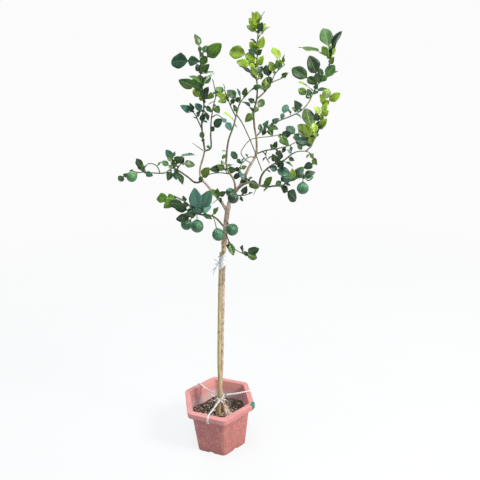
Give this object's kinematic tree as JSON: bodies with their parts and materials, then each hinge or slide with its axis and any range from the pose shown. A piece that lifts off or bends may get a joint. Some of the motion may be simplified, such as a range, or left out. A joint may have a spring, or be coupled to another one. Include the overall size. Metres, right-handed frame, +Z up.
{
  "type": "potted citrus tree",
  "caption": "Potted kaffir lime tree: slim grafted stem tied to a cane, an open crown of winged double leaves and knobbly green fruit, in a six-sided pot with a thick lip.",
  "frame": {"origin": "middle of the pot's base, on the surface that it stands on", "axes": "+Z up along the stem, +X to the right and -Y to the front as the tree is seen in the picture"},
  "size_m": [0.7089, 0.3185, 1.4766],
  "materials": {
    "pot_plastic": "pink clay-coloured moulded plastic, dusty",
    "soil": "dark crumbly potting mix with bark chips",
    "bark": "grey-brown rough bark, lighter on young wood",
    "cane": "yellow-olive bamboo",
    "graft_tape": "white stretch tape",
    "twine": "white plastic twine",
    "clip_plastic": "emerald green plastic",
    "leaf": "dark glossy green leaf",
    "mid_leaf": "mid-green leaf, half glossy",
    "young_leaf": "yellow-green young leaf",
    "peel": "green knobbly rind",
    "dark_peel": "dark green knobbly rind",
    "pale_peel": "light green knobbly rind"
  },
  "bodies": {
    "root": {"pot": "pot_plastic", "soil": "soil", "trunk": "bark", "stake": "cane", "graft_wrap": "graft_tape", "base_knot": "twine", "tie_left": "twine", "tie_right": "twine", "tie_front": "twine", "rim_clip": "clip_plastic", "leader_top": "young_leaf", "centre_left": "leaf", "left_column": "leaf", "left_inner": "leaf", "left_reach": "leaf", "lower_rosette": "leaf", "low_twig": "leaf", "inner_twig": "leaf", "centre_twig": "leaf", "arc_twig": "leaf", "right_upper": "mid_leaf", "right_middle": "leaf", "right_lower": "leaf", "right_column": "young_leaf", "low_right": "leaf", "fork_sprig": "leaf", "right_fork_sprig": "leaf", "fork_leaves": "leaf", "fruit_left_tip": "pale_peel", "fruit_rosette_left": "peel", "fruit_rosette_right": "peel", "fruit_stem_left": "peel", "fruit_stem_right": "peel", "fruit_fork_front": "dark_peel", "fruit_fork_back": "peel", "fruit_right": "peel", "fruitlet": "peel"}
  },
  "joints": []
}
